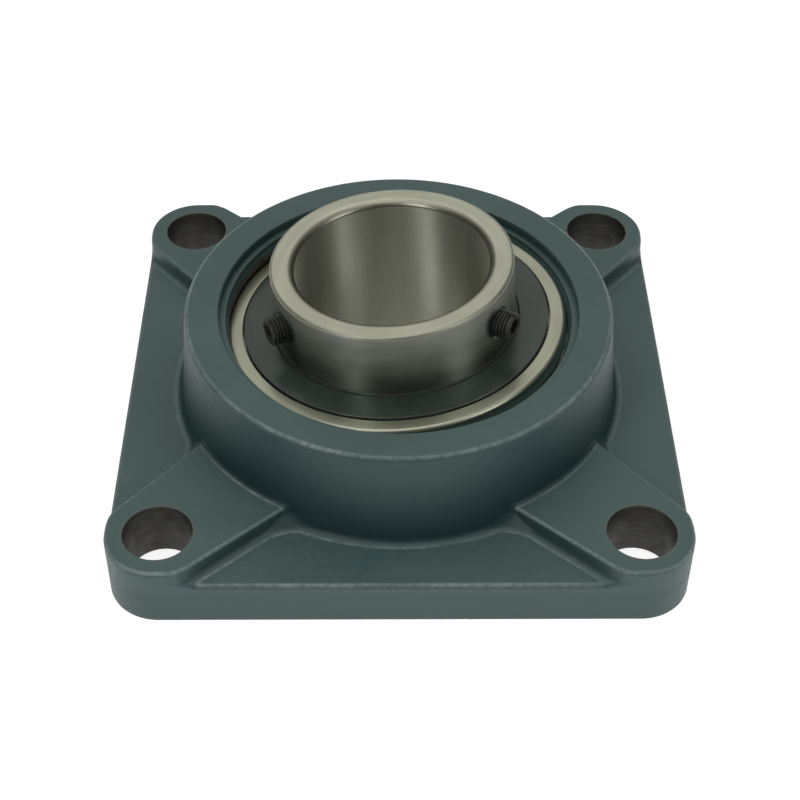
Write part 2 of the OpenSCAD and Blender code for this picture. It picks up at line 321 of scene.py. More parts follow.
# ---------------------------------------------------------------- material helpers
class Mat:
    """Small builder for a node material."""

    def __init__(self, name):
        self.m = bpy.data.materials.new(name)
        self.m.use_nodes = True
        self.t = self.m.node_tree
        self.t.nodes.clear()
        self.out = self.t.nodes.new("ShaderNodeOutputMaterial")
        self.b = self.t.nodes.new("ShaderNodeBsdfPrincipled")
        self.t.links.new(self.b.outputs[0], self.out.inputs[0])
        self.co = self.t.nodes.new("ShaderNodeTexCoord").outputs["Object"]

    def put(self, socket, value):
        if hasattr(value, "links"):
            self.t.links.new(value, socket)
        else:
            socket.default_value = value

    def set(self, **kw):
        for k, v in kw.items():
            self.put(self.b.inputs[k.replace("_", " ")], v)

    def noise(self, scale, detail=3.0, rough=0.55, vector=None, dist=0.0):
        n = self.t.nodes.new("ShaderNodeTexNoise")
        self.put(n.inputs["Vector"], vector if vector is not None else self.co)
        n.inputs["Scale"].default_value = scale
        n.inputs["Detail"].default_value = detail
        n.inputs["Roughness"].default_value = rough
        n.inputs["Distortion"].default_value = dist
        return n.outputs["Fac"]

    def cells(self, scale, vector=None):
        n = self.t.nodes.new("ShaderNodeTexVoronoi")
        self.put(n.inputs["Vector"], vector if vector is not None else self.co)
        n.inputs["Scale"].default_value = scale
        return n.outputs["Distance"]

    def math(self, op, a, b=0.0, c=0.0, clamp=False):
        n = self.t.nodes.new("ShaderNodeMath")
        n.operation = op
        n.use_clamp = clamp
        for s, v in zip(n.inputs, (a, b, c)):
            self.put(s, v)
        return n.outputs[0]

    def ramp(self, x, lo, hi, a=0.0, b=1.0, smooth=True):
        n = self.t.nodes.new("ShaderNodeMapRange")
        n.interpolation_type = "SMOOTHSTEP" if smooth else "LINEAR"
        self.put(n.inputs["Value"], x)
        for k, v in (("From Min", lo), ("From Max", hi), ("To Min", a), ("To Max", b)):
            n.inputs[k].default_value = v
        return n.outputs["Result"]

    def mix(self, fac, a, b, mode="MIX"):
        n = self.t.nodes.new("ShaderNodeMix")
        n.data_type = "RGBA"
        n.blend_type = mode
        self.put(n.inputs[0], fac)
        for s, v in ((n.inputs[6], a), (n.inputs[7], b)):
            self.put(s, (*v, 1.0) if isinstance(v, tuple) else v)
        return n.outputs[2]

    def attr(self, name):
        n = self.t.nodes.new("ShaderNodeAttribute")
        n.attribute_name = name
        return n.outputs["Fac"]

    def xyz(self):
        n = self.t.nodes.new("ShaderNodeSeparateXYZ")
        self.t.links.new(self.co, n.inputs[0])
        return n.outputs

    def facing(self):
        g = self.t.nodes.new("ShaderNodeNewGeometry")
        n = self.t.nodes.new("ShaderNodeSeparateXYZ")
        self.t.links.new(g.outputs["Normal"], n.inputs[0])
        return n.outputs

    def vec(self, x, y, z):
        n = self.t.nodes.new("ShaderNodeCombineXYZ")
        for s, v in zip(n.inputs, (x, y, z)):
            self.put(s, v)
        return n.outputs[0]

    def bump(self, height, strength, distance, normal=None):
        n = self.t.nodes.new("ShaderNodeBump")
        n.inputs["Strength"].default_value = strength
        n.inputs["Distance"].default_value = distance
        self.put(n.inputs["Height"], height)
        if normal is not None:
            self.put(n.inputs["Normal"], normal)
        return n.outputs[0]

    def brushed(self, amount):
        """Reflections spread along the axis, across marks that run round it."""
        n = self.t.nodes.new("ShaderNodeTangent")
        n.direction_type = "RADIAL"
        n.axis = "Z"
        self.t.links.new(n.outputs[0], self.b.inputs["Tangent"])
        self.b.inputs["Anisotropic"].default_value = amount
        self.b.inputs["Anisotropic Rotation"].default_value = 0.25

    def polar(self):
        """Distance from the bearing's axis and angle round it, near enough for surface marks."""
        x, y, z = self.xyz()
        r = self.math("SQRT", self.math("ADD", self.math("MULTIPLY", x, x), self.math("MULTIPLY", y, y)))
        return r, self.math("ARCTAN2", y, x), z


def paint_material():
    m = Mat("housing_paint")
    wear, crease = m.attr("wear"), m.attr("crease")
    broad = m.noise(22.0, 3.0)
    fine = m.noise(520.0, 4.0, 0.6)
    base = m.mix(m.ramp(broad, 0.3, 0.7), (0.054, 0.106, 0.105), (0.069, 0.127, 0.125))
    base = m.mix(m.ramp(fine, 0.35, 0.75, 0.0, 0.35), base, (0.083, 0.144, 0.139))
    # painted shade, with some dirt: the paint is coloured darker in creases and fillets
    base = m.mix(m.ramp(crease, 0.03, 0.22, 0.0, 0.30), base, (0.031, 0.064, 0.065))

    # distances in mm to the casting's outline, pads and boss
    def add(a, b): return m.math("ADD", a, b)
    def sub(a, b): return m.math("SUBTRACT", a, b)
    def mul(a, b): return m.math("MULTIPLY", a, b)
    def most(a, b): return m.math("MAXIMUM", a, b)
    def least(a, b): return m.math("MINIMUM", a, b)
    def length(a, b): return m.math("SQRT", add(mul(a, a), mul(b, b)))
    def near(d, at, full, none): return m.ramp(m.math("ABSOLUTE", sub(d, at)), full, none, 1.0, 0.0)
    def between(d, lo, hi): return mul(m.math("GREATER_THAN", d, lo), m.math("LESS_THAN", d, hi))
    X, Y, Z = m.xyz()
    x, y, z = m.math("ABSOLUTE", mul(X, 1000.0)), m.math("ABSOLUTE", mul(Y, 1000.0)), mul(Z, 1000.0)
    r = length(x, y)
    qx, qy = sub(x, HALF - CORNER), sub(y, HALF - CORNER)
    outline = sub(add(length(most(qx, 0.0), most(qy, 0.0)), least(most(qx, qy), 0.0)), CORNER)
    sa, ca = math.sin(PAD_FLARE), math.cos(PAD_FLARE)
    du, v = sub(mul(add(x, y), math.sqrt(0.5)), DIAG), mul(m.math("ABSOLUTE", sub(x, y)), math.sqrt(0.5))
    tip = m.math("GREATER_THAN", sub(mul(du, ca), mul(v, sa)), 0.0)
    pad = add(mul(tip, length(du, v)), mul(sub(1.0, tip), add(mul(du, sa), mul(v, ca))))
    boss = sub(r, add(BOSS_TOP, mul(sub(BOSS_H, z), BOSS_SLOPE)))
    foot_pad, foot_boss = sub(pad, PAD_R + 0.5), add(boss, 1.0)
    ua, ub = most(sub(10.0, foot_pad), 0.0), most(sub(10.0, foot_boss), 0.0)
    walls = sub(most(10.0, least(foot_pad, foot_boss)), length(ua, ub))
    panel = least(sub(walls, FOOT), sub(boss, BOSS_FOOT))
    # the plate's bare field between pads and boss, with rounded corners
    fa, fb = most(sub(1.8, panel), 0.0), most(add(outline, 2.3), 0.0)
    field = add(least(-1.8, most(mul(panel, -1.0), add(outline, 0.5))), length(fa, fb))
    at_plate, at_pad = between(z, PLATE_H - 0.85, PLATE_H + 0.9), m.math("GREATER_THAN", z, PAD_H - 0.75)
    low = m.math("LESS_THAN", z, PAD_H + 1.6)
    on_pad = mul(mul(at_pad, low), m.ramp(boss, 0.9, 1.4))
    # painted shade: walls and feet are coloured dark, and so are the strips below the edges
    shade = mul(mul(m.ramp(z, PLATE_H + 0.15, PLATE_H + 0.7), m.ramp(z, PAD_H - 1.1, PAD_H - 0.5, 1.0, 0.0)), m.ramp(panel, -0.9, -0.2, 1.0, 0.0))
    shade = mul(shade, m.ramp(outline, -0.9, -0.3, 1.0, 0.0))
    shade = most(shade, mul(m.ramp(panel, -0.4, 0.6), mul(mul(m.ramp(z, PLATE_H - 1.7, PLATE_H - 1.1), m.ramp(z, PLATE_H - 0.6, PLATE_H - 0.25, 1.0, 0.0)), m.ramp(outline, -0.7, -0.3))))
    shade = most(shade, mul(m.ramp(sub(pad, PAD_R), -0.6, 0.3, 1.0, 0.0), mul(mul(m.ramp(z, PAD_H - 1.8, PAD_H - 1.1), m.ramp(z, PAD_H - 0.6, PAD_H - 0.25, 1.0, 0.0)), m.ramp(outline, -0.7, -0.3))))
    base = m.mix(mul(shade, 0.72), base, (0.018, 0.046, 0.047))
    # painted shade: the boss walls are coloured darker, most towards their foot, and the flange's outer walls are
    # darker low down
    base = m.mix(mul(mul(m.ramp(z, 22.0, 42.4, 1.0, 0.62), m.ramp(boss, 0.6, 1.6, 1.0, 0.0)), mul(m.ramp(boss, -1.1, -0.4), 0.95)), base, (0.010, 0.039, 0.041))
    base = m.mix(mul(mul(m.ramp(outline, -0.8, -0.2), m.ramp(z, 8.0, PLATE_H - 0.8, 1.0, 0.6)), mul(m.ramp(z, PAD_H - 1.2, PAD_H - 0.4, 1.0, 0.0), 0.50)), base, (0.010, 0.039, 0.041))
    # painted highlight: light lines along the panel borders, the pad and boss edges and the boss rim, fainter towards
    # the back and on edges that face back
    lines = mul(near(field, -0.10, 0.18, 0.72), at_plate)
    lines = most(lines, mul(near(outline, -0.50, 0.15, 0.70), on_pad))
    lines = most(lines, mul(near(sub(pad, PAD_R), -0.42, 0.12, 0.58), on_pad))
    lines = most(lines, mul(mul(near(boss, 1.20, 0.15, 0.62), mul(at_pad, low)), m.ramp(sub(pad, PAD_R), -0.2, 0.3, 1.0, 0.0)))
    lines = mul(mul(lines, m.ramp(Y, -0.058, -0.030, 1.0, 0.42)), m.ramp(m.facing()[1], -0.02, 0.22, 1.0, 0.40))
    rim = mul(near(boss, -0.70, 0.15, 0.70), m.math("GREATER_THAN", z, BOSS_H - 0.9))
    lines = most(lines, rim)
    speck = m.ramp(m.noise(620.0, 3.0, 0.6), 0.34, 0.66, 0.42, 1.0)
    drift = m.ramp(m.noise(70.0, 2.0, 0.5), 0.30, 0.68, 0.55, 1.0)
    lines = mul(mul(lines, speck), drift)
    base = m.mix(mul(lines, 0.70), base, (0.300, 0.370, 0.350))
    broken = add(wear, mul(sub(m.noise(380.0, 4.0, 0.65), 0.5), 0.26))
    base = m.mix(mul(m.ramp(broken, 0.12, 0.32), 0.15), base, (0.190, 0.240, 0.230))
    m.set(Base_Color=base, Metallic=0.0, Roughness=m.ramp(add(fine, mul(broad, 0.4)), 0.3, 1.0, 0.38, 0.54))
    m.b.inputs["Specular IOR Level"].default_value = 0.5
    lumps = m.bump(m.noise(170.0, 2.0, 0.5), 0.24, 0.0006)
    m.set(Normal=m.bump(m.noise(950.0, 3.0, 0.6), 0.25, 0.00022, lumps))
    return m.m


def drilled_material():
    m = Mat("drilled_iron")
    x, y, z = m.xyz()
    rings = m.noise(1.0, 2.0, 0.5, m.vec(m.math("MULTIPLY", x, 40.0), m.math("MULTIPLY", y, 40.0), m.math("MULTIPLY", z, 2600.0)))
    spots = m.noise(260.0, 4.0, 0.6)
    base = m.mix(m.ramp(rings, 0.25, 0.75), (0.048, 0.047, 0.040), (0.070, 0.069, 0.059))
    base = m.mix(m.ramp(spots, 0.52, 0.78, 0.0, 0.5), base, (0.055, 0.042, 0.028))
    # the broken edge at the top shows bright iron
    base = m.mix(m.ramp(z, (PAD_H - 0.55) * MM, (PAD_H - 0.35) * MM, 0.0, 0.6), base, (0.24, 0.215, 0.170))
    m.set(Base_Color=base, Metallic=0.85, Roughness=m.ramp(spots, 0.2, 0.8, 0.42, 0.62))
    m.set(Normal=m.bump(rings, 0.22, 0.00012))
    return m.m


def seat_material():
    m = Mat("seat_iron")
    r, a, z = m.polar()
    lines = m.noise(1.0, 2.0, 0.5, m.vec(m.math("MULTIPLY", r, 900.0), m.math("MULTIPLY", a, 3.0), m.math("MULTIPLY", z, 2400.0)))
    spots = m.noise(190.0, 4.0, 0.6)
    base = m.mix(lines, (0.105, 0.092, 0.077), (0.170, 0.150, 0.125))
    base = m.mix(m.ramp(spots, 0.5, 0.8, 0.0, 0.6), base, (0.072, 0.050, 0.033))
    m.set(Base_Color=base, Metallic=0.75, Roughness=m.ramp(spots, 0.2, 0.8, 0.40, 0.62))
    m.set(Normal=m.bump(lines, 0.25, 0.0001))
    return m.m


def face_material():
    m = Mat("mounting_face_iron")
    r, a, z = m.polar()
    lines = m.noise(1.0, 2.0, 0.5, m.vec(m.math("MULTIPLY", r, 1500.0), m.math("MULTIPLY", a, 2.0), 0.0))
    spots = m.noise(70.0, 5.0, 0.6)
    base = m.mix(lines, (0.27, 0.265, 0.25), (0.40, 0.39, 0.365))
    base = m.mix(m.ramp(spots, 0.55, 0.8, 0.0, 0.5), base, (0.17, 0.14, 0.105))
    m.set(Base_Color=base, Metallic=0.9, Roughness=m.ramp(spots, 0.2, 0.8, 0.36, 0.55))
    m.set(Normal=m.bump(lines, 0.3, 0.0001))
    return m.m


def ground_material(name, tone, rough, spread, turned_marks=True, grazing=1.0, metal=1.0):
    """Ground bearing steel: marks run round the axis, or along it in the bore."""
    m = Mat(name)
    r, a, z = m.polar()
    if turned_marks:
        fine = m.noise(1.0, 3.0, 0.6, m.vec(m.math("MULTIPLY", r, 3200.0), m.math("MULTIPLY", a, 5.0), m.math("MULTIPLY", z, 3200.0)))
        broad = m.noise(1.0, 2.0, 0.5, m.vec(m.math("MULTIPLY", r, 500.0), m.math("MULTIPLY", a, 2.5), m.math("MULTIPLY", z, 300.0)))
    else:
        fine = m.noise(1.0, 3.0, 0.6, m.vec(m.math("MULTIPLY", m.math("COSINE", a), 60.0), m.math("MULTIPLY", m.math("SINE", a), 60.0), m.math("MULTIPLY", z, 60.0)))
        broad = m.noise(1.0, 2.0, 0.5, m.vec(m.math("MULTIPLY", m.math("COSINE", a), 5.0), m.math("MULTIPLY", m.math("SINE", a), 5.0), m.math("MULTIPLY", z, 8.0)))
    smear = m.noise(60.0, 4.0, 0.6)
    lo = tuple(c * 0.86 for c in tone)
    base = m.mix(m.ramp(broad, 0.3, 0.7), lo, tone)
    base = m.mix(m.ramp(fine, 0.35, 0.75, 0.0, 0.35 if turned_marks else 0.40), base, tuple(min(1.0, c * 1.12) for c in tone))
    base = m.mix(m.ramp(smear, 0.55, 0.8, 0.0, 0.22), base, tuple(c * 0.62 for c in tone))
    m.set(Base_Color=base, Metallic=metal)
    m.set(Roughness=m.ramp(m.math("ADD", m.math("MULTIPLY", fine, 0.6), m.math("MULTIPLY", smear, 0.4)), 0.3, 0.7, rough - 0.05, rough + 0.06))
    m.set(Normal=m.bump(fine, 0.10, 0.00004))
    m.b.inputs["Specular Tint"].default_value = (grazing, grazing, grazing, 1.0)
    if spread:
        m.brushed(spread)
    return m.m


def dark_steel_material(name, tone, rough, metal=0.8, bumpy=0.08):
    m = Mat(name)
    r, a, z = m.polar()
    fine = m.noise(1.0, 3.0, 0.6, m.vec(m.math("MULTIPLY", r, 1400.0), m.math("MULTIPLY", a, 4.0), m.math("MULTIPLY", z, 1400.0)))
    smear = m.noise(90.0, 4.0, 0.6)
    base = m.mix(m.ramp(smear, 0.3, 0.75), tuple(c * 0.88 for c in tone), tuple(c * 1.08 for c in tone))
    base = m.mix(m.ramp(fine, 0.45, 0.8, 0.0, 0.3), base, tuple(c * 1.6 for c in tone))
    m.set(Base_Color=base, Metallic=metal, Roughness=m.ramp(smear, 0.25, 0.8, rough - 0.02, rough + 0.04))
    m.set(Normal=m.bump(fine, bumpy, 0.00005))
    return m.m


def black_oxide_material():
    m = Mat("black_oxide")
    spots = m.noise(900.0, 4.0, 0.6)
    wear = m.attr("wear")
    base = m.mix(m.ramp(spots, 0.35, 0.7), (0.036, 0.039, 0.035), (0.064, 0.068, 0.061))
    base = m.mix(m.math("MULTIPLY", m.ramp(m.math("MULTIPLY", wear, spots), 0.30, 0.62), 0.5), base, (0.16, 0.155, 0.145))
    m.set(Base_Color=base, Metallic=0.55, Roughness=m.ramp(spots, 0.3, 0.7, 0.34, 0.50))
    m.set(Normal=m.bump(spots, 0.12, 0.00006))
    return m.m


def plated_material():
    m = Mat("plated_steel")
    spots = m.noise(700.0, 4.0, 0.6)
    broad = m.noise(160.0, 3.0, 0.5)
    base = m.mix(m.ramp(broad, 0.35, 0.7), (0.42, 0.36, 0.22), (0.55, 0.50, 0.36))
    base = m.mix(m.ramp(spots, 0.5, 0.8, 0.0, 0.4), base, (0.30, 0.26, 0.17))
    m.set(Base_Color=base, Metallic=1.0, Roughness=m.ramp(spots, 0.3, 0.7, 0.24, 0.42))
    m.set(Normal=m.bump(spots, 0.10, 0.00005))
    return m.m


def rubber_material():
    m = Mat("seal_rubber")
    spots = m.noise(600.0, 4.0, 0.6)
    base = m.mix(m.ramp(spots, 0.35, 0.7), (0.010, 0.010, 0.011), (0.022, 0.022, 0.023))
    m.set(Base_Color=base, Metallic=0.0, Roughness=m.ramp(spots, 0.3, 0.7, 0.52, 0.70))
    m.set(Normal=m.bump(spots, 0.15, 0.00006))
    return m.m


def pressed_material(name, tone, rough):
    m = Mat(name)
    spots = m.noise(420.0, 4.0, 0.6)
    broad = m.noise(120.0, 3.0, 0.5)
    base = m.mix(m.ramp(broad, 0.35, 0.7), tuple(c * 0.8 for c in tone), tone)
    base = m.mix(m.ramp(spots, 0.5, 0.8, 0.0, 0.35), base, tuple(c * 0.6 for c in tone))
    m.set(Base_Color=base, Metallic=1.0, Roughness=m.ramp(spots, 0.3, 0.7, rough - 0.07, rough + 0.09))
    m.set(Normal=m.bump(spots, 0.10, 0.00005))
    return m.m


PAINT, DRILLED, SEAT, FACE = paint_material(), drilled_material(), seat_material(), face_material()
# one ground steel in several copies: its colour is lighter on the inner ring's top face and bore and darker on its
# collar, outer edges and bore edges, as painted light and shade; roughness and marks follow each surface's finish
RING = ground_material("ring_steel", (0.335, 0.348, 0.301), 0.335, 0.9, True, 0.5)
RIM = ground_material("ring_face_steel", (0.555, 0.565, 0.455), 0.40, 0.0)
EDGE = ground_material("ring_edge_steel", (0.40, 0.407, 0.328), 0.45, 0.0)
LIP = ground_material("bore_edge_steel", (0.325, 0.330, 0.265), 0.32, 0.0)
BORE = ground_material("bore_steel", (0.47, 0.485, 0.395), 0.60, 1.0, False, 0.5, 0.92)
OUTER = ground_material("outer_ring_steel", (0.455, 0.470, 0.367), 0.34, 0.0, True, 1.0, 0.86)
BALLED = ground_material("outer_ring_back", (0.55, 0.565, 0.49), 0.24, 0.0)
SLINGER = dark_steel_material("slinger_steel", (0.051, 0.068, 0.056), 0.24, 0.28)
BLACK = black_oxide_material()
PLATED = plated_material()
RUBBER = rubber_material()
CAGE = pressed_material("cage_steel", (0.52, 0.50, 0.45), 0.34)
CORE = pressed_material("core_steel", (0.42, 0.42, 0.43), 0.38)
BALL = pressed_material("ball_steel", (0.74, 0.74, 0.74), 0.14)
SPRING = pressed_material("spring_steel", (0.55, 0.55, 0.57), 0.30)


# ---------------------------------------------------------------- housing
def cavity_field(r, y, z, x):
    """Distance to the space inside the housing: negative in the space."""
    zf, zr = SEAT_Z + SEAT_HALF, SEAT_Z - SEAT_HALF
    edge = math.sqrt(SEAT_R ** 2 - SEAT_HALF ** 2)

    def cone(r0, z0, r1, z1):
        dr, dz = r1 - r0, z1 - z0
        l = math.hypot(dr, dz)
        return ((r - r0) * dz - (z - z0) * dr) / l * (1 if dz > 0 else -1)

    h = z - SEAT_Z
    sphere = np.maximum(np.sqrt(r * r + h * h) - SEAT_R, np.abs(h) - SEAT_HALF - 1.0)
    front = np.maximum(np.maximum(cone(edge - 1.2, zf - 1.5, THROAT_R, zf + 2.2), r - THROAT_R), (zf - 1.5) - z)
    mouth = np.maximum(r - MOUTH_R, (BOSS_H - STEP) - z)
    rear = np.maximum(np.maximum(cone(edge - 1.2, zr + 1.5, REAR_R, zr - 3.0), r - REAR_R), z - (zr + 1.5))
    slot = np.maximum(np.maximum(r - SEAT_R - 0.5, np.abs(y) - 12.9), z - 23.5)
    d = np.minimum(np.minimum(sphere, front), np.minimum(rear, slot))
    return np.minimum(d, mouth)


def outside_field(P):
    """The casting before machining."""
    x, y, z = np.abs(P[..., 0]), np.abs(P[..., 1]), P[..., 2]
    r = np.sqrt(x * x + y * y)
    qx, qy = x - (HALF - CORNER), y - (HALF - CORNER)
    outline = np.sqrt(np.maximum(qx, 0) ** 2 + np.maximum(qy, 0) ** 2) + np.minimum(np.maximum(qx, qy), 0) - CORNER + 0.006 * z
    u, v = (x + y) * math.sqrt(0.5), np.abs(x - y) * math.sqrt(0.5)
    sa, ca = math.sin(PAD_FLARE), math.cos(PAD_FLARE)
    du = u - DIAG
    pad = np.where(du * ca - v * sa > 0, np.sqrt(du * du + v * v), du * sa + v * ca) - PAD_R + 0.10 * (z - PAD_H)
    boss = (r - (BOSS_TOP + (BOSS_H - z) * BOSS_SLOPE)) * 0.9956
    up = smooth_step(PLATE_H, PAD_H - 0.5, z)
    walls = union_round(pad, boss + 1.0, 10.0 - 9.4 * up)
    low = union_round(z - PLATE_H, cut_round(walls, z - PAD_H, 0.75), FOOT)
    top = cut_round(boss, z - BOSS_H, 1.5)
    body = union_round(low, top, BOSS_FOOT - 0.9 * smooth_step(15.5, 18.4, z))
    return cut_round(body, outline, 0.95)


def housing_field(P):
    x, y, z = P[..., 0], P[..., 1], P[..., 2]
    r = np.sqrt(x * x + y * y)
    d = outside_field(P)
    # machined mounting face
    d = np.maximum(d, -z)
    inner = cavity_field(r, y, z, x)
    d = np.where(z > BOSS_H - 1.2, cut_round(d, -inner, 0.55), np.maximum(d, -inner))
    ax, ay = np.abs(x) - BOLT, np.abs(y) - BOLT
    hole = np.sqrt(ax * ax + ay * ay) - 9.5
    d = np.maximum(d, -hole)
    # the drill's edges are broken: lightly on the pads, deeper below
    broken = np.maximum(z - PAD_H + 0.10, 1.4 - z)
    d = np.where(hole < 2.2, np.maximum(d, (-hole + broken) * math.sqrt(0.5)), d)
    # spot face and tapped hole of the grease nipple, and its way into the seat
    nr = np.sqrt(x * x + (z - 26.5) ** 2)
    d = np.maximum(d, -np.maximum(nr - 6.4, 61.0 - y))
    d = np.maximum(d, -np.maximum(nr - 4.0, 54.0 - y))
    w = (y - 55.5) * -0.76604 + (z - 26.5) * 0.64279
    off = np.sqrt(np.maximum(x * x + (y - 55.5) ** 2 + (z - 26.5) ** 2 - w * w, 0))
    d = np.maximum(d, -np.maximum(np.maximum(off - 1.5, -w), w - 11.0))
    return d


def angles(fine, half, step, coarse):
    """Angles round the circle, finer near the given ones."""
    out, a = [], 0.0
    marks = np.radians(np.array(fine))
    while a < 2 * np.pi - 1e-6:
        out.append(a)
        near = np.min(np.abs((a - marks + np.pi) % (2 * np.pi) - np.pi))
        a += math.radians(step if near < math.radians(half) else coarse)
    return np.array(out)


def build_housing():
    T = angles((45, 135, 225, 315), 16.5, 0.40, 0.60)
    R = spans((46.6, 53.0, 0.32), (53.0, 59.2, 0.9), (59.2, 67.4, 0.36), (67.4, 113.0, 0.62)) + 0.013
    Z = spans((-0.35, 1.75, 0.3), (1.75, 10.4, 1.2), (10.4, 12.8, 0.5), (12.8, 20.9, 0.27), (20.9, 33.6, 0.62), (33.6, 40.2, 0.42), (40.2, 43.6, 0.26)) + 0.0071
    v, q = contour(housing_field, T, R, Z)
    # how far each point stands out or lies in, from the casting's own shape
    wear = np.zeros(len(v))
    n = 0
    for dx in (-1, 0, 1):
        for dy in (-1, 0, 1):
            for dz in (-1, 0, 1):
                if dx or dy or dz:
                    o = np.array([dx, dy, dz], float)
                    o *= 1.3 / np.linalg.norm(o)
                    wear += housing_field(v + o)
                    n += 1
    wear /= n * 1.3
    c = v[q].mean(1)
    r = np.hypot(c[:, 0], c[:, 1])
    fn = np.cross(v[q[:, 2]] - v[q[:, 0]], v[q[:, 3]] - v[q[:, 1]])
    fn /= np.linalg.norm(fn, axis=1, keepdims=True) + 1e-12
    hole = np.hypot(np.abs(c[:, 0]) - BOLT, np.abs(c[:, 1]) - BOLT)
    idx = np.zeros(len(q), int)
    idx[(hole < 9.72) | ((hole < 10.9) & (c[:, 2] < 1.32) & (c[:, 2] > 0.02))] = 1
    idx[(np.hypot(c[:, 0], c[:, 2] - 26.5) < 6.45) & (c[:, 1] > 52) & (r < 61.9) & (c[:, 1] > 0)] = 1
    # machined seat and loading slots; the paint runs a little way in from the mouth
    ang = np.arctan2(c[:, 1], c[:, 0])
    shore = SEAT_Z + 10.1 + 2.1 * np.maximum(np.cos(ang - math.radians(165.0)), 0.0) ** 2 - 1.8 * np.maximum(np.cos(ang + math.radians(22.0)), 0.0) ** 2 + 0.22 * np.sin(5 * ang + 1.0) + 0.13 * np.sin(13 * ang) + 0.08 * np.sin(31 * ang + 2.0)
    idx[(r < SEAT_R + 0.62) & (c[:, 2] < shore) & (c[:, 2] > SEAT_Z - SEAT_HALF - 1.2) & (r > 40)] = 2
    idx[(c[:, 2] < 0.02)] = 3
    ob = make_object("housing_casting", v, q, [PAINT, DRILLED, SEAT, FACE], idx, 32.0,
                     {"wear": np.clip(wear, 0, 1), "crease": np.clip(-wear, 0, 1)})
    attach(ob, "housing")
    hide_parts("housing")
    return ob


# ---------------------------------------------------------------- insert
def inner_field(P):
    x, y, h = P[..., 0], P[..., 1], P[..., 2]
    r = np.sqrt(x * x + y * y)
    s = math.sqrt(0.5)
    out, top, low = r - COLLAR_R, h - FRONT, -REAR - h
    d = cut_round(cut_round(out, top, 1.05), low, 0.9)
    bore = cut_round(BORE_R - r, (BORE_R + 1.5 - r + top) * s, 0.5)
    bore = cut_round(bore, (BORE_R + 1.1 - r + low) * s, 0.4)
    d = cut_round(d, bore, 0.8)
    d = np.maximum(d, 7.43 - np.sqrt((r - 38.936) ** 2 + h * h))
    for a in (SCREW_LEFT, SCREW_RIGHT):
        ca, sa = math.cos(math.radians(a)), math.sin(math.radians(a))
        along, across = x * ca + y * sa, -x * sa + y * ca
        hole = np.sqrt(across ** 2 + (h - SCREW_Z) ** 2) - SCREW_R - 0.05
        d = np.where(along > 0, np.maximum(np.maximum(d, -hole), (out - hole + 0.7) * s), d)
    return d


def build_inner():
    T = angles((SCREW_LEFT + 360, SCREW_RIGHT + 360), 9.5, 0.5, 1.4)
    R = spans((27.1, 29.7, 0.12), (29.7, 32.9, 0.5), (32.9, 35.0, 0.105)) + 0.0123
    Z = spans((-22.5, -20.5, 0.15), (-20.5, -6.5, 1.1), (-6.5, 6.5, 0.5), (6.5, 18.6, 1.1), (18.6, 28.9, 0.35), (28.9, 31.0, 0.4), (31.0, 33.6, 0.12)) + 0.0067
    v, q = contour(inner_field, T, R, Z)
    c = v[q].mean(1)
    r = np.hypot(c[:, 0], c[:, 1])
    h = c[:, 2]

    def gap(grid, at):
        k = np.searchsorted(grid, at)
        return 0.5 * (grid[k - 1] + grid[k])

    face_in, face_out = gap(R, BORE_R + 1.5), gap(R, COLLAR_R - 0.9)
    lip_up, edge_up, down = gap(Z, FRONT - 1.65), gap(Z, FRONT - 0.65), gap(Z, -REAR + 1.4)
    idx = np.where(r < BORE_R + 0.08, 1, np.where(r < COLLAR_R - 0.06, 3, 0))
    idx[((h > lip_up) | (h < down)) & (r < face_in)] = 4
    idx[((h > FRONT - 0.2) | (h < -REAR + 0.2)) & (r > face_in) & (r < face_out)] = 2
    idx[((h > edge_up) | (h < down)) & (r > face_out)] = 3
    idx[(h > FRONT - 2.0) & (h <= edge_up) & (r > face_out)] = 0
    ob = make_object("inner_ring_ground", lean(v), q, [RING, BORE, RIM, EDGE, LIP], idx, 26.0)
    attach(ob, "insert_inner")
    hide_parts("inner_ring")


def build_outer():
    H, m = OUTER_HALF, 44.3
    prof = [(m, H, 0.15), (48.36, H, 4.7)]
    a0, a1 = math.asin(10.9 / 50.0), math.asin(8.8 / 50.0)
    prof += [(50.0 * math.cos(a), 50.0 * math.sin(a)) for a in np.linspace(a0, a1, 8)]
    prof += [(48.7, 8.8), (48.7, 5.8)]
    prof += [(50.0 * math.cos(a), 50.0 * math.sin(a)) for a in np.linspace(math.asin(5.8 / 50.0), -a0, 40)]
    prof += [(48.36, -H, 2.2), (m, -H, 0.25), (m, -10.6), (45.2, -10.6), (45.2, -8.8), (43.3, -8.8)]
    rc = 38.75 + 7.144 + 0.1 - 7.43
    b = math.acos((43.3 - rc) / 7.43)
    prof += [(rc + 7.43 * math.cos(t), 7.43 * math.sin(t)) for t in np.linspace(-b, b, 28)]
    prof += [(43.3, 8.8), (45.2, 8.8), (45.2, 10.6), (m, 10.6)]
    v, q = turned(rounded(prof, 9), 288)
    c = np.array([v[list(f)].mean(0) for f in q])
    # the spherical back is finer ground
    idx = np.where((np.hypot(c[:, 0], c[:, 1]) > 47.9) & (np.abs(c[:, 2]) < OUTER_HALF - 1.3), 1, 0)
    ob = make_object("outer_ring_ground", lean(v), q, [OUTER, BALLED], idx, 24.0)
    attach(ob, "insert_outer")
    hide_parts("outer_ring")


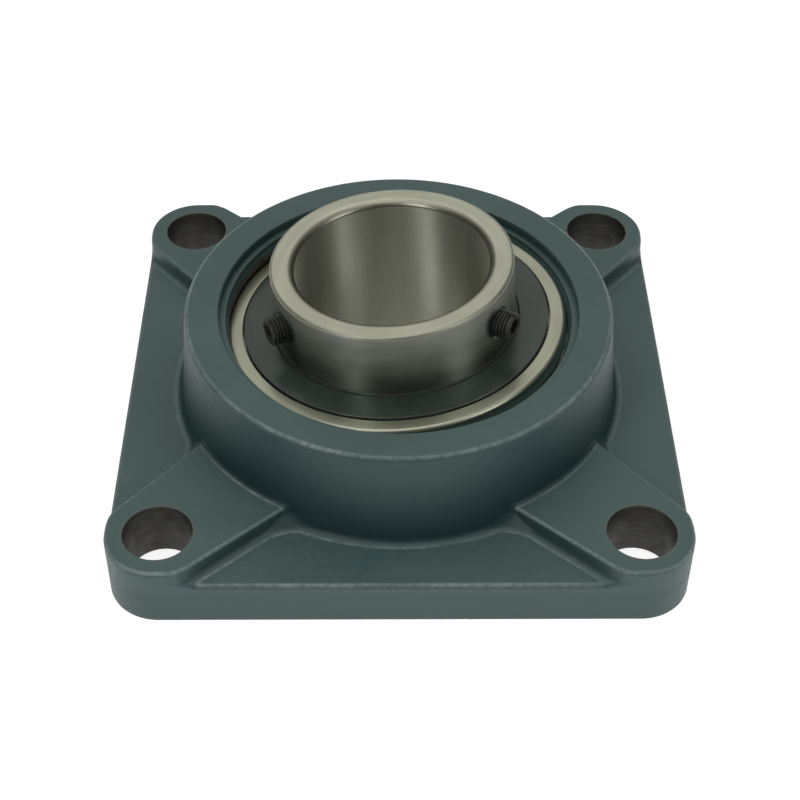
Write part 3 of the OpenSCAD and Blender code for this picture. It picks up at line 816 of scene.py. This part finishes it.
def build_slinger(name, node, sign):
    t, c = OUTER_HALF + 0.5, COLLAR_R
    prof = [(c + 0.02, t - 1.8), (c + 0.6, t - 1.8, 0.15), (c + 0.6, t - 0.8, 0.2), (43.0, t - 0.8, 0.15), (43.0, t - 1.6, 0.12), (43.85, t - 1.6, 0.15),
            (43.85, t, 0.28), (c + 1.2, t, 0.45), (c + 0.65, t - 0.45, 0.06), (c + 0.48, t + 0.35, 0.2), (c + 0.02, t + 0.35, 0.08)]
    p = rounded(prof)
    p[:, 1] *= sign
    v, q = turned(p, 256)
    ob = make_object(name, lean(v), q, [SLINGER], None, 30.0)
    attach(ob, "insert_inner")
    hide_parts(node)


def hexagon(across, seg, turn=0.0):
    a = np.arange(seg) * 2 * np.pi / seg + turn
    return across / 2.0 / np.cos((a % (math.pi / 3)) - math.pi / 6)


def build_screw(name, node, body, angle, turn):
    """Socket set screw with a helical thread; its outer end is at height 0 and its cup point at -10."""
    seg, pitch, length = 96, 1.0, 10.0
    a = np.arange(seg) * 2 * np.pi / seg
    crest, root = SCREW_R, SCREW_R - 0.58
    rings, wear = [], []

    def add(r, z, w=0.0):
        rings.append((r, z))
        wear.append(np.broadcast_to(np.asarray(w, float), (seg,)))

    # cup point, from its bottom out to its rim
    add(0.35, -length + 1.25)
    add(2.2, -length + 0.10)
    add(2.35, -length + 0.01, 1.0)
    add(2.55, -length + 0.01, 1.0)
    steps = 132
    z0, z1 = -length + 0.08, -0.10
    for i in range(steps + 1):
        z = z0 + (z1 - z0) * i / steps
        ph = (z / pitch - a / (2 * np.pi)) % 1.0
        tri = 1.0 - np.abs(2 * ph - 1.0)
        prof = np.clip((tri - 0.12) / 0.70, 0.0, 1.0)
        r = root + (crest - root) * prof
        r = np.minimum(r, 2.62 + (z + length) * 0.95)
        r = np.minimum(r, 3.45 - z * 0.95)
        add(r, z, (prof > 0.93) * 1.0)
    # outer end: rim, face, hexagon socket and its drilled bottom
    key = hexagon(4.0, seg, turn)
    add(3.40, 0.0, 1.0)
    add(3.25, 0.0, 0.4)
    add(key + 0.22, 0.0, 0.3)
    add(key + 0.02, -0.20, 0.5)
    add(key, -0.30)
    add(key, -4.0)
    add(1.75, -4.1)
    add(0.05, -4.9)
    v, f = stacked(rings, seg)
    ca, sa = math.cos(math.radians(angle)), math.sin(math.radians(angle))
    # the screw's own Z runs outwards from the axis
    M = np.array([[0, -sa, ca], [0, ca, sa], [1, 0, 0]], float).T
    M = np.stack([[0, 0, 1.0], [-sa, ca, 0.0], [ca, sa, 0.0]])
    p = v @ M + np.array([ca * SCREW_OUT, sa * SCREW_OUT, SCREW_Z])
    if np.linalg.det(M) < 0:
        f = [tuple(reversed(t)) for t in f]
    w = np.concatenate(wear + [[0.0, 0.0]])
    ob = make_object(name, lean(p), f, [BLACK], None, 28.0, {"wear": w})
    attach(ob, body)
    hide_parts(node)


def build_nipple():
    """Grease nipple: threaded shank, hexagon and cone-shaped head with an open tip."""
    seg = 96
    hexa = hexagon(9.0, seg)
    rings = [(1.25, 3.0), (1.6, -4.9), (1.25, -4.95), (1.25, -5.45), (1.35, -5.5), (3.35, -5.5)]
    a = np.arange(seg) * 2 * np.pi / seg
    for i in range(71):
        z = -5.45 + 5.0 * i / 70
        ph = (z - a / (2 * np.pi)) % 1.0
        prof = np.clip((1.0 - np.abs(2 * ph - 1.0) - 0.12) / 0.7, 0.0, 1.0)
        r = 3.42 + 0.54 * prof
        r = np.minimum(r, 3.4 + (z + 5.45) * 0.9)
        r = np.minimum(r, 3.42 + np.maximum(-0.6 - z, 0) * 1.5)
        rings.append((r, z))
    rings += [(3.3, -0.30), (3.3, 0.02), (np.minimum(hexa, 4.75), 0.03), (np.minimum(hexa, 5.05), 0.16), (np.minimum(hexa, 5.4), 0.45),
              (np.minimum(hexa, 5.4), 2.6), (np.minimum(hexa, 4.95), 2.95), (np.minimum(hexa, 4.5), 3.16), (4.3, 3.2), (3.05, 3.2), (2.9, 3.3), (2.75, 3.55),
              (2.5, 3.95), (2.45, 4.2), (2.45, 5.45), (2.52, 5.75), (3.15, 6.55), (3.25, 6.75), (3.25, 7.15), (3.2, 7.3), (2.15, 9.6), (2.0, 9.9), (1.72, 10.25),
              (1.45, 10.38), (1.05, 10.4), (0.92, 10.3), (0.9, 9.75), (0.92, 9.6), (1.6, 8.2), (1.6, 3.1)]
    v, f = stacked(rings[1:], seg)
    # the bore's two ends meet, so the wall is closed without caps
    n = len(rings) - 1
    f = f[: (n - 1) * seg]
    for i in range(seg):
        j = (i + 1) % seg
        f.append(((n - 1) * seg + i, (n - 1) * seg + j, j, i))
    v = v[: n * seg]
    p = np.stack([v[:, 0], v[:, 2] + 61.0, -v[:, 1] + 26.5], -1)
    ob = make_object("grease_nipple", p, f, [PLATED], None, 30.0)
    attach(ob, "housing")
    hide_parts("nipple_body")


def build_spring():
    """Coil spring behind the nipple's check ball."""
    turns, per, sides, rm, rw, z0, z1 = 7, 28, 10, 1.15, 0.2, -4.6, 6.95
    rings = turns * per
    i, k = np.meshgrid(np.arange(rings + 1), np.arange(sides), indexing="ij")
    a, b = 2 * np.pi * i / per, 2 * np.pi * k / sides
    c = rm + rw * np.cos(b)
    h = z0 + (z1 - z0) * i / rings + rw * np.sin(b)
    v = np.stack([c * np.cos(a), c * np.sin(a), h], -1).reshape(-1, 3)
    f = []
    for m in range(rings):
        for n in range(sides):
            o = (n + 1) % sides
            f.append((m * sides + n, (m + 1) * sides + n, (m + 1) * sides + o, m * sides + o))
    f.append(tuple(range(sides)))
    f.append(tuple(rings * sides + n for n in range(sides - 1, -1, -1)))
    p = np.stack([v[:, 0], v[:, 2] + 61.0, -v[:, 1] + 26.5], -1)
    ob = make_object("nipple_coil", p, f, [SPRING], None, 40.0)
    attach(ob, "housing")
    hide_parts("nipple_spring")
    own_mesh(ob)


build_housing()
build_inner()
build_outer()
build_slinger("slinger_front_disc", "slinger_front", 1)
build_slinger("slinger_rear_disc", "slinger_rear", -1)
build_screw("set_screw_left_thread", "set_screw_left", "screw_left", SCREW_LEFT, 0.35)
build_screw("set_screw_right_thread", "set_screw_right", "screw_right", SCREW_RIGHT, 0.15)
build_nipple()
build_spring()


def dress(name, material):
    ob = nodes[name]
    ob.data.materials.clear()
    ob.data.materials.append(material)


for i in range(1, 11):
    dress(f"ball_{i:02d}", BALL)
for n in ("cage_front", "cage_rear", "cage_rivets"):
    dress(n, CAGE)
for n in ("seal_front", "seal_rear"):
    dress(n, RUBBER)
for n in ("seal_front_core", "seal_rear_core"):
    dress(n, CORE)
dress("nipple_ball", BALL)


# ---------------------------------------------------------------- stage, light and camera
def stage():
    sc = bpy.context.scene
    m = Mat("floor_white")
    g = m.noise(3.0, 2.0)
    m.set(Base_Color=m.mix(g, (0.30, 0.30, 0.30), (0.33, 0.33, 0.33)), Roughness=0.8)
    m.b.inputs["Emission Color"].default_value = (1.0, 1.0, 1.0, 1.0)
    # painted light: the white table glows round the part, washing out its shadow, and in a disc below the bore; under
    # the rest of the part it does not glow, as painted shade
    away, _, _ = m.polar()
    glow = m.math("MULTIPLY", m.ramp(away, 0.060, 0.078), m.ramp(away, 0.27, 1.5, 0.88, 0.60))
    m.set(Emission_Strength=m.math("MAXIMUM", glow, m.ramp(away, 0.022, 0.030, 0.90, 0.0)))
    me = bpy.data.meshes.new("floor")
    s = 6.0
    me.from_pydata([(-s, -s, 0), (s, -s, 0), (s, s, 0), (-s, s, 0)], [], [(0, 1, 2, 3)])
    me.materials.append(m.m)
    floor = bpy.data.objects.new("floor", me)
    floor.location.z = -0.0001
    sc.collection.objects.link(floor)

    w = bpy.data.worlds.new("studio")
    sc.world = w
    w.use_nodes = True
    bg = w.node_tree.nodes["Background"]
    # a room that is bright above and behind, and dim in front and at the sides
    wt = w.node_tree
    co = wt.nodes.new("ShaderNodeTexCoord")
    axes = wt.nodes.new("ShaderNodeSeparateXYZ")
    wt.links.new(co.outputs["Generated"], axes.inputs[0])

    def fade(x, lo, hi, a, b):
        n = wt.nodes.new("ShaderNodeMapRange")
        n.interpolation_type = "SMOOTHSTEP"
        wt.links.new(x, n.inputs["Value"])
        for k, v in (("From Min", lo), ("From Max", hi), ("To Min", a), ("To Max", b)):
            n.inputs[k].default_value = v
        return n.outputs["Result"]

    def both(op, x, y=None):
        n = wt.nodes.new("ShaderNodeMath")
        n.operation = op
        wt.links.new(x, n.inputs[0])
        if y is not None:
            wt.links.new(y, n.inputs[1])
        return n.outputs[0]

    aside = both("ADD", axes.outputs[0])
    aside.node.inputs[1].default_value = 0.07
    across = fade(both("ABSOLUTE", aside), 0.35, 0.90, 1.0, 0.0)
    upward = fade(axes.outputs[2], 0.12, 0.55, 0.0, 1.0)
    behind = fade(axes.outputs[1], -0.65, 0.25, 0.12, 1.0)
    wt.links.new(fade(both("MULTIPLY", both("MULTIPLY", across, upward), behind), 0.0, 1.0, 0.07, 0.74), bg.inputs[1])
    bg.inputs[0].default_value = (1.0, 0.99, 0.955, 1.0)

    def area(name, loc, target, size, power, color=(1, 1, 1)):
        d = bpy.data.lights.new(name, "AREA")
        d.shape = "RECTANGLE"
        d.size, d.size_y = size
        d.energy = power
        d.color = color
        o = bpy.data.objects.new(name, d)
        o.location = loc
        o.rotation_euler = (Vector(target) - Vector(loc)).to_track_quat("-Z", "Y").to_euler()
        sc.collection.objects.link(o)

    area("overhead", (-0.18, -0.06, 1.20), (0, 0, 0), (0.8, 0.9), 1.8, (1.0, 0.99, 0.96))
    area("front_left", (-0.74, -0.88, 0.95), (0, 0, 0.03), (0.22, 0.8), 3.5)
    area("front_right", (1.03, -0.61, 0.95), (0, 0, 0.03), (0.48, 0.8), 3.5)

    sc.view_settings.view_transform = "Standard"
    sc.view_settings.look = "None"
    sc.view_settings.exposure = 0.0
    sc.view_settings.gamma = 1.0

    f, el, az, dist, roll = 1630.56, math.radians(44.09), math.radians(-0.86), 0.5009, math.radians(0.531)
    T = Vector((0.00070, 0.00555, 0.0))
    back = Vector((math.sin(az) * math.cos(el), -math.cos(az) * math.cos(el), math.sin(el)))
    right = (-back).cross(Vector((0, 0, 1))).normalized()
    up = right.cross(-back)
    r2 = right * math.cos(roll) + up * math.sin(roll)
    u2 = up * math.cos(roll) - right * math.sin(roll)
    cam = bpy.data.cameras.new("camera")
    cam.sensor_width = 36.0
    cam.lens = 36.0 * f / 800.0
    cam.clip_start = 0.01
    o = bpy.data.objects.new("camera", cam)
    C = T + back * dist
    o.matrix_world = Matrix(((r2.x, u2.x, back.x, C.x), (r2.y, u2.y, back.y, C.y), (r2.z, u2.z, back.z, C.z), (0, 0, 0, 1)))
    sc.collection.objects.link(o)
    sc.camera = o


stage()
